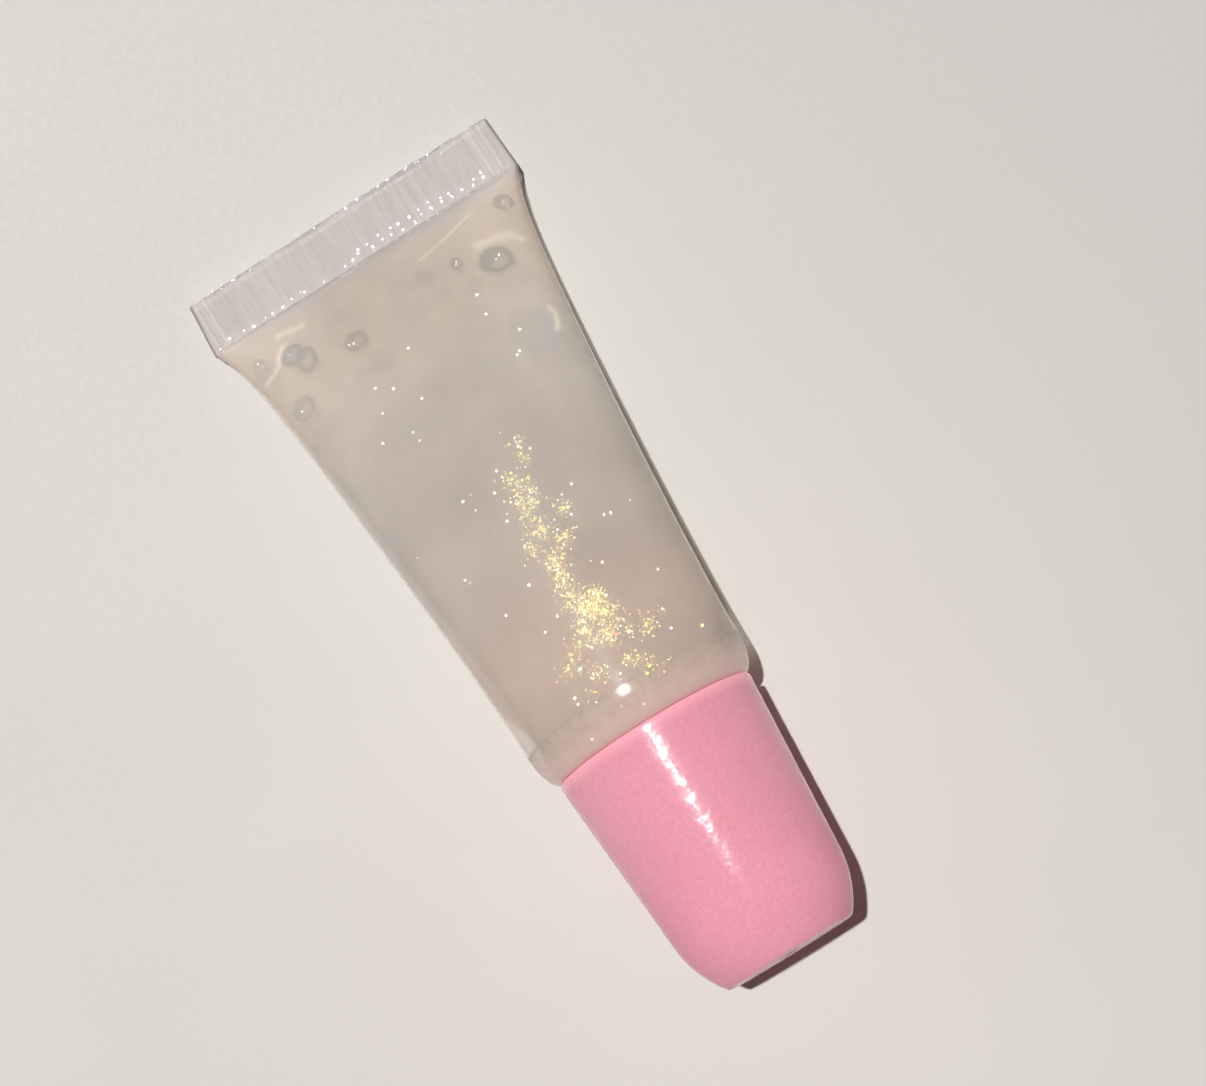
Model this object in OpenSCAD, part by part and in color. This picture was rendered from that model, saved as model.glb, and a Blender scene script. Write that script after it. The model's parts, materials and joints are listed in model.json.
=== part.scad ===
// Lip gloss squeeze tube with a screw cap. Millimetres, +Z up.
// The tube lies on its wedge-shaped side: the seal end is low, the cap end is raised.
// Every piece is drawn along its own axis, measured from the cut end of the seal,
// and lie_down() then tilts the whole tube and sets it on the plane z = 0.

/* [Sleeve] */
// Diameter of the round end of the sleeve
tube_d = 19; // [18:0.1:20]
// Length of the sleeve, from the cut end of the seal to the weld at the shoulder
sleeve_l = 45.5; // [40:0.5:60]
// Width across the heat seal
seal_w = 28.5; // [26.5:0.1:29.5]
// Length of the heat seal along the tube
seal_l = 4.6; // [3:0.1:6]
// Number of ribs pressed into each face of the seal
seal_ribs = 30; // [12:1:40]
// Wall thickness of the sleeve
wall_t = 0.5; // [0.4:0.05:0.7]
// Angle between the tube's axis and the surface that it lies on
rest_tilt = 10; // [9:0.5:11]
// Width, near the seal, of the flat that the soft lower face is pressed to where the tube lies
rest_flat_w = 9.2; // [8:0.2:10.4]

/* [Shoulder and neck] */
// Length of the rounded shoulder
shoulder_l = 2.85; // [2.4:0.05:3.5]
// Diameter of the neck under its thread
neck_d = 9.8; // [9.6:0.1:10]
// Length of the neck above the shoulder
neck_l = 8; // [7.5:0.1:8.5]
// Diameter of the bore through the neck
neck_bore_d = 6.8; // [6:0.1:7.2]
// Rise of the thread in one turn
thread_pitch = 2.8; // [2.6:0.1:3]
// Height of the thread over the neck
thread_h = 0.6; // [0.4:0.05:0.6]
// Turns of thread on the neck and in the inner cap
thread_turns = 1.75; // [1:0.25:1.75]

/* [Applicator tip] */
// Diameter of the tip at the neck
tip_d = 8; // [7.6:0.1:8]
// Length of the tip beyond the neck
tip_l = 7.9; // [6.5:0.1:8.2]
// Angle of the slanted face across the tip
tip_slant = 35; // [20:1:40]
// Diameter of the hole that the gloss comes out of
orifice_d = 1.6; // [1:0.1:2.4]

/* [Cap] */
// Length of the cap
cap_l = 19.9; // [19.5:0.1:22]
// Outer diameter at the open end
cap_mouth_d = 17.1; // [16.9:0.1:17.8]
// Half angle by which the side narrows towards the closed end
cap_taper = 4.3; // [3.5:0.1:4.5]
// Radius of the rounding that leads to the flat end
cap_round_r = 9; // [8:0.5:10]
// Length of that rounding along the cap
cap_round_l = 4.9; // [4:0.1:5.5]
// Wall thickness of the outer shell
cap_wall_t = 1.2; // [1:0.1:1.3]

/* [Gloss] */
// Number of glitter flakes that stand for the streak
flake_count = 60; // [20:1:80]
// Width of a flake across its corners
flake_w = 0.5; // [0.3:0.05:0.5]
// Thickness of a flake
flake_t = 0.1; // [0.08:0.01:0.15]

/* [Hidden] */
$fn = 96;

// Places along the axis, from the cut end of the seal
tube_r = tube_d / 2;
skirt_l = 0.9;
round_at = sleeve_l - skirt_l;
shoulder_at = sleeve_l + shoulder_l;
neck_end = shoulder_at + neck_l;
tip_end = neck_end + tip_l;
rim_gap = 0.25;
cap_at = shoulder_at + rim_gap;
cap_end = cap_at + cap_l;

// Fits
slip_gap = 0.05;
thread_gap = 0.15;

// How far a hollow is drawn past the face that it opens through
cut_past = 1;

// Radii at the cap's closed end
cap_round_at = cap_end - cap_round_l;
cap_mouth_r = cap_mouth_d / 2;
round_r_start = cap_mouth_r - (cap_round_at - cap_at) * tan(cap_taper);
function cap_round_radius(s) =
    let (dx = s - cap_round_at + cap_round_r * sin(cap_taper))
    round_r_start - cap_round_r * cos(cap_taper) + sqrt(cap_round_r * cap_round_r - dx * dx);
function cap_radius(s) =
    s < cap_round_at ? cap_mouth_r - (s - cap_at) * tan(cap_taper) : cap_round_radius(s);
cap_flat_r = cap_radius(cap_end);

// How the tube lies: the straight lower edge of the sleeve touches z = 0
lift = tube_r * cos(rest_tilt) - round_at * sin(rest_tilt);
x_low = -wall_t * sin(rest_tilt);
x_high = cap_end * cos(rest_tilt) + cap_flat_r * sin(rest_tilt);
x_mid = (x_low + x_high) / 2;

module lie_down() {
    translate([-x_mid, 0, lift])
        rotate([0, -rest_tilt, 0])
            children();
}

// A profile of [place along the axis, radius] points, turned around the tube's axis
module turned(profile) {
    rotate([0, 90, 0])
        rotate_extrude()
            polygon([for (p = profile) [p[1], p[0]]]);
}

// ---- Shape of the sleeve ----

// 0 at the inner edge of the seal, 1 where the sleeve is round
function along(s) = max(0, min(1, (s - seal_l) / (round_at - seal_l)));

// Half the width of the sleeve
side_bow = 1.3;
seal_flare = 0.23;
seal_flare_reach = 0.062;
function half_width(s) =
    let (u = along(s))
    tube_r + (seal_w / 2 - tube_r)
        * ((1 - seal_flare) * pow(1 - u, side_bow) + seal_flare * exp(-u / seal_flare_reach));

// Depth below the axis of the surface that the tube lies on
function straight_edge(s) = tube_r - (round_at - min(s, round_at)) * tan(rest_tilt);

// How far the lower face has opened: 0 at the seal, 1 where it reaches that surface
seal_ramp_l = 8;
flat_from = seal_l + seal_ramp_l;
function opening(s) =
    let (v = max(0, min(1, (s - seal_l) / seal_ramp_l)))
    1 - (1 - v) * (1 - v);

// The soft lower face is pressed flat there. The flat narrows from flat_from to the round end.
// The tube stands on the flat's two corners at flat_from and on the round end's lowest point:
// between these the flat is arched by rest_arch, and its middle and edges by flat_crown.
flat_tip_w = 1.2;
flat_taper = 1.3;
rest_arch = 0.1;
flat_crown = tube_r - sqrt(tube_r * tube_r - flat_tip_w * flat_tip_w / 4);
function back_share(s) = max(0, min(1, (round_at - s) / (round_at - flat_from)));
function flat_half_w(s) =
    (flat_tip_w + (rest_flat_w - flat_tip_w) * pow(back_share(s), flat_taper)) / 2;
function flat_depth(s) =
    let (arch = 4 * rest_arch * back_share(s) * (1 - back_share(s)))
    wall_t + (straight_edge(s) - arch - wall_t) * opening(s);

// Height of the upper face above the axis: a quarter of an ellipse, as a full tube bulges
function height_above(s) =
    let (u = along(s))
    wall_t + (tube_r - wall_t) * sqrt(1 - (1 - u) * (1 - u));

// Squareness of the section: 2 is an ellipse
flat_squareness = 0.3;
seal_squareness = 1.7;
seal_squareness_reach = 0.04;
function squareness(s) =
    let (u = along(s))
    2 + flat_squareness * (1 - u) + seal_squareness * exp(-u / seal_squareness_reach);

function signed_power(x, p) = sign(x) * pow(abs(x), p);

// One closed section of the sleeve, inset from its outer face: the upper face from +y to -y,
// the rounded side down to the edge of the flat, the middle of the flat, and the other side
upper_points = 24;
side_steps = 12;
ring_points = upper_points + 2 * side_steps + 3;
function ring(s, inset) =
    let (
        p = 2 / squareness(s),
        a = half_width(s) - inset,
        up = height_above(s) - inset,
        edge_deg = acos(pow(flat_half_w(s) / a, 1 / p)),
        edge_depth = flat_depth(s) - flat_crown * (1 - back_share(s)) - inset,
        middle_depth = flat_depth(s) - flat_crown * back_share(s) - inset,
        down = edge_depth / pow(sin(edge_deg), p),
        upper = [for (i = [1 : upper_points])
            let (t = 180 * i / (upper_points + 1))
            [s, a * signed_power(cos(t), p), up * pow(sin(t), p)]],
        side = [for (i = [0 : side_steps])
            let (t = edge_deg * i / side_steps)
            [s, a * pow(cos(t), p), -down * pow(sin(t), p)]]
    )
    concat(
        upper,
        [for (q = side) [q[0], -q[1], q[2]]],
        [[s, 0, -middle_depth]],
        [for (i = [side_steps : -1 : 0]) side[i]]
    );

// Sections from one place to the round end, closer together near the seal
ramp_steps = 9;
flat_steps = 14;
ramp_crowding = 1.5;
function stations(from) =
    concat(
        [for (i = [0 : ramp_steps - 1])
            from + (flat_from - from) * pow(i / ramp_steps, ramp_crowding)],
        [for (i = [0 : flat_steps]) flat_from + (round_at - flat_from) * i / flat_steps]
    );

// A closed solid through a list of sections that all have ring_points points
module lofted(sections) {
    n = ring_points;
    last = len(sections) - 1;
    sides = [for (k = [0 : last - 1], i = [0 : n - 1])
        let (j = (i + 1) % n)
        each [[k * n + i, (k + 1) * n + j, k * n + j],
              [k * n + i, (k + 1) * n + i, (k + 1) * n + j]]];
    first_end = [[for (i = [0 : n - 1]) i]];
    last_end = [[for (i = [0 : n - 1]) last * n + n - 1 - i]];
    polyhedron(
        points = [for (section = sections) each section],
        faces = concat(sides, first_end, last_end),
        convexity = 6
    );
}

// The hollow of the sleeve begins past the weld. It ends at the round end, where the gloss
// ends, or goes on to the places in past_round.
weld_l = 0.9;
hollow_at = seal_l + weld_l;
module sleeve_outer() {
    lofted([for (s = concat(stations(seal_l), [sleeve_l])) ring(s, 0)]);
}
module sleeve_hollow(past_round = []) {
    lofted([for (s = concat(stations(hollow_at), past_round)) ring(s, wall_t)]);
}

// The flat seal band, ribbed along the tube on both faces. It is set back a little from the
// sleeve's own faces, which it runs into.
rib_h = 0.09;
rib_slope = 0.3;
seal_overlap = 0.3;
seal_set_back = 0.03;
seal_side_set_back = 0.1;
module seal_band() {
    half = seal_w / 2 - seal_side_set_back;
    pitch = 2 * half / seal_ribs;
    groove = wall_t - rib_h - seal_set_back;
    crest = groove + rib_h;
    face = [for (i = [0 : seal_ribs - 1])
        let (y = -half + i * pitch)
        each [[groove, y], [crest, y + rib_slope * pitch], [crest, y + (1 - rib_slope) * pitch]]];
    back = [for (i = [len(face) - 1 : -1 : 0]) [-face[i][0], face[i][1]]];
    rotate([0, 90, 0])
        linear_extrude(seal_l + seal_overlap)
            polygon(concat(face, [[groove, half], [-groove, half]], back));
}

// ---- Thread ----

// A ridge that winds around the axis. It fades in and out over fade_deg at its ends.
thread_steps = 24;
thread_root_w = 1.15;
thread_crest_w = 0.55;
thread_sink = 0.2;
thread_end_share = 0.25;
fade_deg = 45;
module thread_ridge(root_r, crest_r, at, start_deg) {
    sweep = 360 * thread_turns;
    steps = round(thread_steps * thread_turns);
    inward = crest_r < root_r;
    base_r = inward ? root_r + thread_sink : root_r - thread_sink;
    points = [for (k = [0 : steps])
        let (
            turned_by = sweep * k / steps,
            a = start_deg + turned_by,
            s = at + thread_pitch * a / 360,
            grown = min(1, turned_by / fade_deg, (sweep - turned_by) / fade_deg),
            share = thread_end_share + (1 - thread_end_share) * grown,
            r = base_r + (crest_r - base_r) * share
        )
        each [[base_r * cos(a), base_r * sin(a), s - thread_root_w / 2],
              [r * cos(a), r * sin(a), s - thread_crest_w / 2],
              [r * cos(a), r * sin(a), s + thread_crest_w / 2],
              [base_r * cos(a), base_r * sin(a), s + thread_root_w / 2]]];
    sides = [for (k = [0 : steps - 1], i = [0 : 3])
        let (j = (i + 1) % 4)
        each [[4 * k + i, 4 * k + j, 4 * k + 4 + j], [4 * k + i, 4 * k + 4 + j, 4 * k + 4 + i]]];
    ends = [[3, 2, 1, 0], [4 * steps, 4 * steps + 1, 4 * steps + 2, 4 * steps + 3]];
    faces = concat(sides, ends);
    rotate([0, 90, 0])
        polyhedron(
            points = points,
            faces = inward ? [for (f = faces) [for (i = [len(f) - 1 : -1 : 0]) f[i]]] : faces,
            convexity = 6
        );
}

// ---- Pieces ----

// Squeeze sleeve: round at the shoulder, pressed flat and welded at the other end
module tube_sleeve() {
    color([0.86, 0.83, 0.79, 0.55])
        lie_down()
            union() {
                difference() {
                    sleeve_outer();
                    sleeve_hollow([sleeve_l + cut_past]);
                }
                seal_band();
            }
}

// Shoulder and threaded neck, welded into the round end of the sleeve
skirt_t = 0.7;
shoulder_t = 1;
shoulder_round_r = 1.4;
shoulder_flat_r = tube_r - shoulder_round_r;
thread_lead_in = 1.35;
thread_at = shoulder_at + thread_lead_in;
neck_r = neck_d / 2;
bore_r = neck_bore_d / 2;
skirt_r = tube_r - wall_t - slip_gap;
head_inner_r = skirt_r - skirt_t;
head_cone_at = sleeve_l + shoulder_l - 2 * shoulder_t;
module tube_head() {
    arc_steps = 16;
    shoulder_arc = [for (i = [0 : arc_steps])
        let (t = 90 * i / arc_steps)
        [sleeve_l + shoulder_l * sin(t), shoulder_flat_r + shoulder_round_r * cos(t)]];
    color([0.88, 0.86, 0.82, 0.7])
        lie_down()
            union() {
                turned(concat(
                    [[round_at, head_inner_r], [round_at, skirt_r], [sleeve_l, skirt_r]],
                    shoulder_arc,
                    [[shoulder_at, neck_r], [neck_end, neck_r], [neck_end, bore_r],
                     [shoulder_at - shoulder_t, bore_r], [head_cone_at, head_inner_r]]
                ));
                thread_ridge(neck_r, neck_r + thread_h, thread_at, 0);
            }
}

// Soft applicator, pressed into the neck, with a slanted face and a hole through it
plug_l = 5;
plug_at = neck_end - plug_l;
plug_bore_r = 2.2;
plug_lead_l = 0.4;
plug_lead_h = 0.2;
tip_flange_t = 0.8;
tip_r = tip_d / 2;
tip_end_r = 0.82 * tip_r;
tip_bore_end = neck_end + 2.2;
tip_bore_cone_l = 1;
nose_l = 1.2;
nose_face_r = tip_end_r - nose_l;
nose_bend_l = 0.3;
nose_bend_r = tip_end_r - 0.5;
slant_depth = 0.5 * tip_end_r;
module tip_hollow() {
    turned([[plug_at - cut_past, 0], [plug_at - cut_past, plug_bore_r],
            [tip_bore_end, plug_bore_r], [tip_bore_end + tip_bore_cone_l, orifice_d / 2],
            [tip_end + cut_past, orifice_d / 2], [tip_end + cut_past, 0]]);
}
module applicator_tip() {
    color([0.93, 0.92, 0.90])
        lie_down()
            difference() {
                turned([[plug_at, 0], [plug_at, bore_r - plug_lead_h],
                        [plug_at + plug_lead_l, bore_r], [neck_end, bore_r],
                        [neck_end, tip_r], [neck_end + tip_flange_t, tip_r],
                        [tip_end - nose_l, tip_end_r], [tip_end - nose_bend_l, nose_bend_r],
                        [tip_end, nose_face_r], [tip_end, 0]]);
                tip_hollow();
                // slanted face, high on the lower side and low on the upper side
                translate([tip_end, 0, -slant_depth])
                    rotate([0, 90 - tip_slant, 0])
                        translate([-tube_d, -tube_d, 0])
                            cube([2 * tube_d, 2 * tube_d, tube_d]);
            }
}

// Gloss: fills the sleeve, the shoulder and the neck up to the tip, with air bubbles in it
// Each bubble is [place along the axis, place across, height over the axis, radius]
bubbles = [
    [8, -11.2, 0.6, 0.6],
    [8.7, -9, 1.3, 0.8],
    [10.1, -7.9, 1.2, 0.9],
    [11.1, -3.9, 2.2, 1],
    [13.1, -10.2, 1.2, 1.1],
    [15.6, -10.2, 1.8, 0.8],
    [9.9, 5.9, 2.4, 0.6],
    [11.2, 8.7, 1.6, 1.3],
    [9.5, 3.2, 2.2, 0.7],
    [17.8, 8.4, 2.3, 1.7]
];
gloss_overlap = 1;
module gloss_body() {
    head_from = round_at - gloss_overlap;
    sleeve_hollow();
    turned([[head_from, 0], [head_from, head_inner_r], [head_cone_at, head_inner_r],
            [shoulder_at - shoulder_t, bore_r], [plug_at, bore_r], [plug_at, plug_bore_r],
            [tip_bore_end, plug_bore_r], [tip_bore_end, 0]]);
}
module gloss_fill() {
    color([0.9, 0.85, 0.78, 0.5])
        lie_down()
            difference() {
                gloss_body();
                for (b = bubbles)
                    translate([b[0], b[1], b[2]])
                        sphere(r = b[3], $fn = 32);
                flake_group();
            }
}

// Glitter: six-sided flakes along a streak that fans out towards the shoulder. They take turns
// in four layers, so that no flake meets the next.
streak_from = 27;
streak_to = 44;
streak_height = 2.5;
streak_half_w = 1.2;
streak_fan_w = 4.5;
streak_sway = 1.4;
streak_sway_deg = 200;
layers = 4;
layer_gap = 0.8;
layer_scatter = 0.1;
flake_lean = 60;
draws_per_flake = 5;
flake_seed = 7;
module flake_group() {
    draws = rands(0, 1, draws_per_flake * flake_count, flake_seed);
    for (i = [0 : flake_count - 1]) {
        t = (i + 0.5) / flake_count;
        first = draws_per_flake * i;
        aside = (draws[first] + draws[first + 1] - 1) * (streak_half_w + streak_fan_w * pow(t, 3));
        layer = i % layers - (layers - 1) / 2;
        s = streak_from + (streak_to - streak_from) * t;
        y = streak_sway * (1 - t) * sin(streak_sway_deg * t) + aside;
        z = streak_height + layer_gap * layer + layer_scatter * (2 * draws[first + 2] - 1);
        translate([s, y, z])
            rotate([360 * draws[first + 3], flake_lean * draws[first + 4], 0])
                cylinder(d = flake_w, h = flake_t, $fn = 6);
    }
}
module glitter_flakes() {
    color([0.95, 0.78, 0.35])
        lie_down()
            flake_group();
}

// Loose sealing ring between the neck's rim and the ledge in the inner cap
washer_t = 1;
washer_gap = 0.25;
washer_in_r = tip_r + washer_gap;
bore_wall_r = neck_r + thread_h + thread_gap;
washer_out_r = bore_wall_r - washer_gap;
washer_at = neck_end + slip_gap;
module seal_washer() {
    color([0.96, 0.96, 0.94])
        lie_down()
            turned([[washer_at, washer_in_r], [washer_at, washer_out_r],
                    [washer_at + washer_t, washer_out_r], [washer_at + washer_t, washer_in_r]]);
}

// Inner cap: the threaded liner with a closed chamber over the tip
ledge_at = washer_at + washer_t + slip_gap;
inner_wall_t = 1.1;
chamber_r = tip_r + 0.55;
chamber_wall_t = 0.85;
chamber_draft = 0.3;
inner_cap_at = cap_at + 0.4;
flange_t = 1;
chamber_end = tip_end + 1.2;
inner_cap_end = chamber_end + 0.9;
inner_thread_start = 160;
module inner_cap() {
    chamber_out_r = chamber_r + chamber_wall_t;
    wall_r = bore_wall_r + inner_wall_t;
    step_at = ledge_at + inner_wall_t;
    color([0.93, 0.75, 0.80])
        lie_down()
            union() {
                turned([[inner_cap_at, bore_wall_r],
                        [inner_cap_at, cap_radius(inner_cap_at) - cap_wall_t],
                        [inner_cap_at + flange_t, cap_radius(inner_cap_at + flange_t) - cap_wall_t],
                        [inner_cap_at + flange_t, wall_r], [step_at, wall_r],
                        [step_at, chamber_out_r],
                        [inner_cap_end, chamber_out_r - chamber_draft],
                        [inner_cap_end, 0], [chamber_end, 0],
                        [chamber_end, chamber_r - chamber_draft],
                        [ledge_at, chamber_r], [ledge_at, bore_wall_r]]);
                thread_ridge(bore_wall_r, neck_r + thread_gap,
                             thread_at - thread_pitch / 2, inner_thread_start);
            }
}

// Outer shell of the cap: a tapered cup with a large rounding and a flat end
module cap_shell() {
    steps = 14;
    least_step = 0.2;
    rounding = [for (i = [0 : steps]) cap_round_at + cap_round_l * i / steps];
    inner_end = cap_end - cap_wall_t;
    inner_steps = [for (s = rounding) if (s < inner_end - least_step) s];
    inner_last = cap_radius(inner_end) - cap_wall_t;
    color([0.91, 0.60, 0.68])
        lie_down()
            turned(concat(
                [[cap_at, cap_radius(cap_at) - cap_wall_t], [cap_at, cap_radius(cap_at)]],
                [for (s = rounding) [s, cap_radius(s)]],
                [[cap_end, 0], [inner_end, 0], [inner_end, inner_last]],
                [for (i = [len(inner_steps) - 1 : -1 : 0])
                    [inner_steps[i], cap_radius(inner_steps[i]) - cap_wall_t]]
            ));
}

tube_sleeve();
tube_head();
applicator_tip();
gloss_fill();
glitter_flakes();
seal_washer();
inner_cap();
cap_shell();
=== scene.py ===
"""Looks of the lip gloss tube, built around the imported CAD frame.

The tube's pieces are drawn in the tube's own axis frame, in millimetres: s runs along
the axis from the cut end of the seal, y across the tube, z away from the side that it
lies on. TUBE puts them in the CAD frame, in metres.
"""
import json
import math
import random

import bmesh
import bpy
import numpy as np
from mathutils import Matrix, Vector, noise


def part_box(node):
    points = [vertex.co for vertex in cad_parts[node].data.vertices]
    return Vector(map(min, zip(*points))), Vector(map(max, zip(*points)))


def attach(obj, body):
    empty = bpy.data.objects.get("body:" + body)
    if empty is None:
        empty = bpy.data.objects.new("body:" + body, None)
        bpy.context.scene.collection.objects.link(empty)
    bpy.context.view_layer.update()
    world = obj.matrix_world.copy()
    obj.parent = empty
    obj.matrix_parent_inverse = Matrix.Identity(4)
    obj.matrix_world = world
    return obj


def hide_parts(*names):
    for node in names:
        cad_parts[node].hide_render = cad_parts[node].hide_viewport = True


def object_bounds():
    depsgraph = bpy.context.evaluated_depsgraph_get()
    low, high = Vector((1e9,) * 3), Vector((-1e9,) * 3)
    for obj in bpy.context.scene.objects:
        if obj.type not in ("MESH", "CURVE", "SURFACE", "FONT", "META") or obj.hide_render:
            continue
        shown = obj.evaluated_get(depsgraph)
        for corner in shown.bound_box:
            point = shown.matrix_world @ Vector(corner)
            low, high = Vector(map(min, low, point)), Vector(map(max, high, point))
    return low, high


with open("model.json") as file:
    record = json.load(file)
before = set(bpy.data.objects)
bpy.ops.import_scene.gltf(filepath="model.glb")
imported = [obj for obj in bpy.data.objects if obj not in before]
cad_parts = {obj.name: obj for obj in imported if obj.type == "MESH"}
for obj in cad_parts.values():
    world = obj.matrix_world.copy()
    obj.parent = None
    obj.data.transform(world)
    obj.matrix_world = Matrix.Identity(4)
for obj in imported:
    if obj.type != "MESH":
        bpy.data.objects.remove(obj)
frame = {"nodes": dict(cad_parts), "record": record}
cad_low, cad_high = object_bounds()

# ---- The tube's axis frame, read from the CAD model ----

MM = 0.001
cap_end_mount = next(m for m in frame["record"]["mounts"] if m["name"] == "cap_end")
AXIS = Vector(cap_end_mount["axis"]).normalized()
ACROSS = Vector((0, 1, 0))
UP = AXIS.cross(ACROSS)
CAP_END = Vector(cap_end_mount["pos_m"])


def axis_points(node):
    """Place along the axis from the cap's end and distance from the axis of a node's points, in mm."""
    co = np.array([v.co for v in frame["nodes"][node].data.vertices]) - np.array(CAP_END)
    along_axis = co @ np.array(AXIS)
    off_axis = np.linalg.norm(co - np.outer(along_axis, AXIS), axis=1)
    return along_axis / MM, off_axis / MM


CUT_END = axis_points("tube_sleeve")[0].min()
ORIGIN = CAP_END + AXIS * CUT_END * MM
TUBE = Matrix.Translation(ORIGIN) @ Matrix((AXIS, ACROSS, UP)).transposed().to_4x4() @ Matrix.Scale(MM, 4)


def span(node):
    """Where a node begins and ends along the axis, in mm from the cut end of the seal."""
    along_axis = axis_points(node)[0] - CUT_END
    return along_axis.min(), along_axis.max()


def widest(node):
    """The largest distance from the axis in a node, in mm."""
    return axis_points(node)[1].max()


SEAL_W = 2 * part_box("tube_sleeve")[1].y / MM
SLEEVE_END = span("tube_sleeve")[1]
ROUND_AT = span("tube_head")[0]
NECK_END = span("tube_head")[1]
TUBE_R = widest("tube_head")
TIP_END = span("applicator_tip")[1]
WASHER_AT, WASHER_END = span("seal_washer")
WASHER_R = widest("seal_washer")
INNER_AT, INNER_END = span("inner_cap")
INNER_R = widest("inner_cap")
CAP_AT, CAP_TO = span("cap_shell")
CAP_MOUTH_R = widest("cap_shell")

# The rest of the CAD model's sizes, in mm
WALL_T = 0.5
SEAL_L = 4.6
REST_TILT = math.asin(AXIS.z)
REST_FLAT_W = 9.2
FLAT_TIP_W = 1.2
OPENING_L = 8
FLAT_FROM = SEAL_L + OPENING_L
FLARE_REACH = 0.062
SHOULDER_AT = 48.35
SHOULDER_ROUND_R = 1.4
HEAD_INNER_R = 8.25
HEAD_CONE_AT = 46.35
NECK_R = 4.9
BORE_R = 3.4
TIP_R = 4.0
TIP_SLANT = math.radians(35)
PLUG_L = 5
PLUG_BORE_R = 2.2
OUTLET_R = 0.8
THREAD_PITCH = 2.8
THREAD_H = 0.6
THREAD_TURNS = 1.75
THREAD_AT = SHOULDER_AT + 1.35
CAP_TAPER = math.radians(4.3)
CAP_ROUND_L = 4.9
CAP_ROUND_R = 9.0
CAP_WALL_T = 1.2

# The gloss looks as if it reaches the outer face, because the film bends light as the gloss
# does. So the film is drawn thinner than it is, and its hollow starts right at the seal.
FILM_T = 0.16
HOLLOW_AT = SEAL_L + 0.2

# ---- Making pieces ----


def mesh_object(name, points, faces, materials, face_slots=None, smooth=True):
    """A mesh object from points in the tube's frame. face_slots gives each face's material."""
    mesh = bpy.data.meshes.new(name)
    mesh.from_pydata([tuple(p) for p in points], [], [tuple(f) for f in faces])
    mesh.transform(TUBE)
    for material in materials:
        mesh.materials.append(material)
    if face_slots is not None:
        mesh.polygons.foreach_set("material_index", np.asarray(face_slots, np.int32))
    mesh.polygons.foreach_set("use_smooth", [smooth] * len(mesh.polygons))
    mesh.update()
    piece = bpy.data.objects.new(name, mesh)
    bpy.context.scene.collection.objects.link(piece)
    return piece


def settle(piece, body, slot, *nodes):
    """The piece rides on its body and stands for its CAD nodes. slot is not used."""
    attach(piece, body)
    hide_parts(*nodes)


def ring_faces(first, second, count):
    """Quads between two closed rings of points that start at the indices first and second."""
    return [
        (first + i, first + (i + 1) % count, second + (i + 1) % count, second + i)
        for i in range(count)
    ]


def tube_faces(rings, count, base=0, flip=False):
    """Quads along a row of rings of count points each, of which the first has the index base."""
    faces = []
    for k in range(rings - 1):
        first = base + k * count
        second = first + count
        faces.extend(ring_faces(second, first, count) if flip else ring_faces(first, second, count))
    return faces


def weld(piece, distance=0.002):
    """Merges points that lie together, and turns all faces outwards."""
    build = bmesh.new()
    build.from_mesh(piece.data)
    bmesh.ops.remove_doubles(build, verts=build.verts, dist=distance * MM)
    bmesh.ops.recalc_face_normals(build, faces=build.faces)
    build.to_mesh(piece.data)
    build.free()


def rounded(profile, steps=5):
    """A closed profile of (s, radius, fillet) corners as (s, radius) points, with an arc at each fillet."""
    points = []
    count = len(profile)
    for i, (s, r, fillet) in enumerate(profile):
        corner = Vector((s, r))
        before = Vector(profile[i - 1][:2]) - corner
        after = Vector(profile[(i + 1) % count][:2]) - corner
        if fillet <= 0 or before.length < 1e-6 or after.length < 1e-6:
            points.append((s, r))
            continue
        half = before.angle(after) / 2
        reach = min(fillet / math.tan(half), 0.45 * before.length, 0.45 * after.length)
        radius = reach * math.tan(half)
        bisector = (before.normalized() + after.normalized()).normalized()
        centre = corner + bisector * (radius / math.sin(half))
        start = corner + before.normalized() * reach - centre
        end = corner + after.normalized() * reach - centre
        turn = start.angle_signed(end)
        for k in range(steps + 1):
            spoke = start.copy()
            spoke.rotate(Matrix.Rotation(-turn * k / steps, 2))
            points.append(tuple(centre + spoke))
    return points


def lathe(name, profile, materials, segments=160):
    """A solid turned around the tube's axis from a closed profile of (s, radius) points."""
    points = []
    faces = []
    count = len(profile)
    for k in range(segments):
        t = 2 * math.pi * k / segments
        points.extend((s, r * math.cos(t), r * math.sin(t)) for s, r in profile)
    for k in range(segments):
        a = k * count
        b = (k + 1) % segments * count
        for i in range(count):
            j = (i + 1) % count
            if profile[i][1] > 0 or profile[j][1] > 0:
                faces.append((a + i, a + j, b + j, b + i))
    piece = mesh_object(name, points, faces, materials)
    weld(piece)
    return piece


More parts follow.
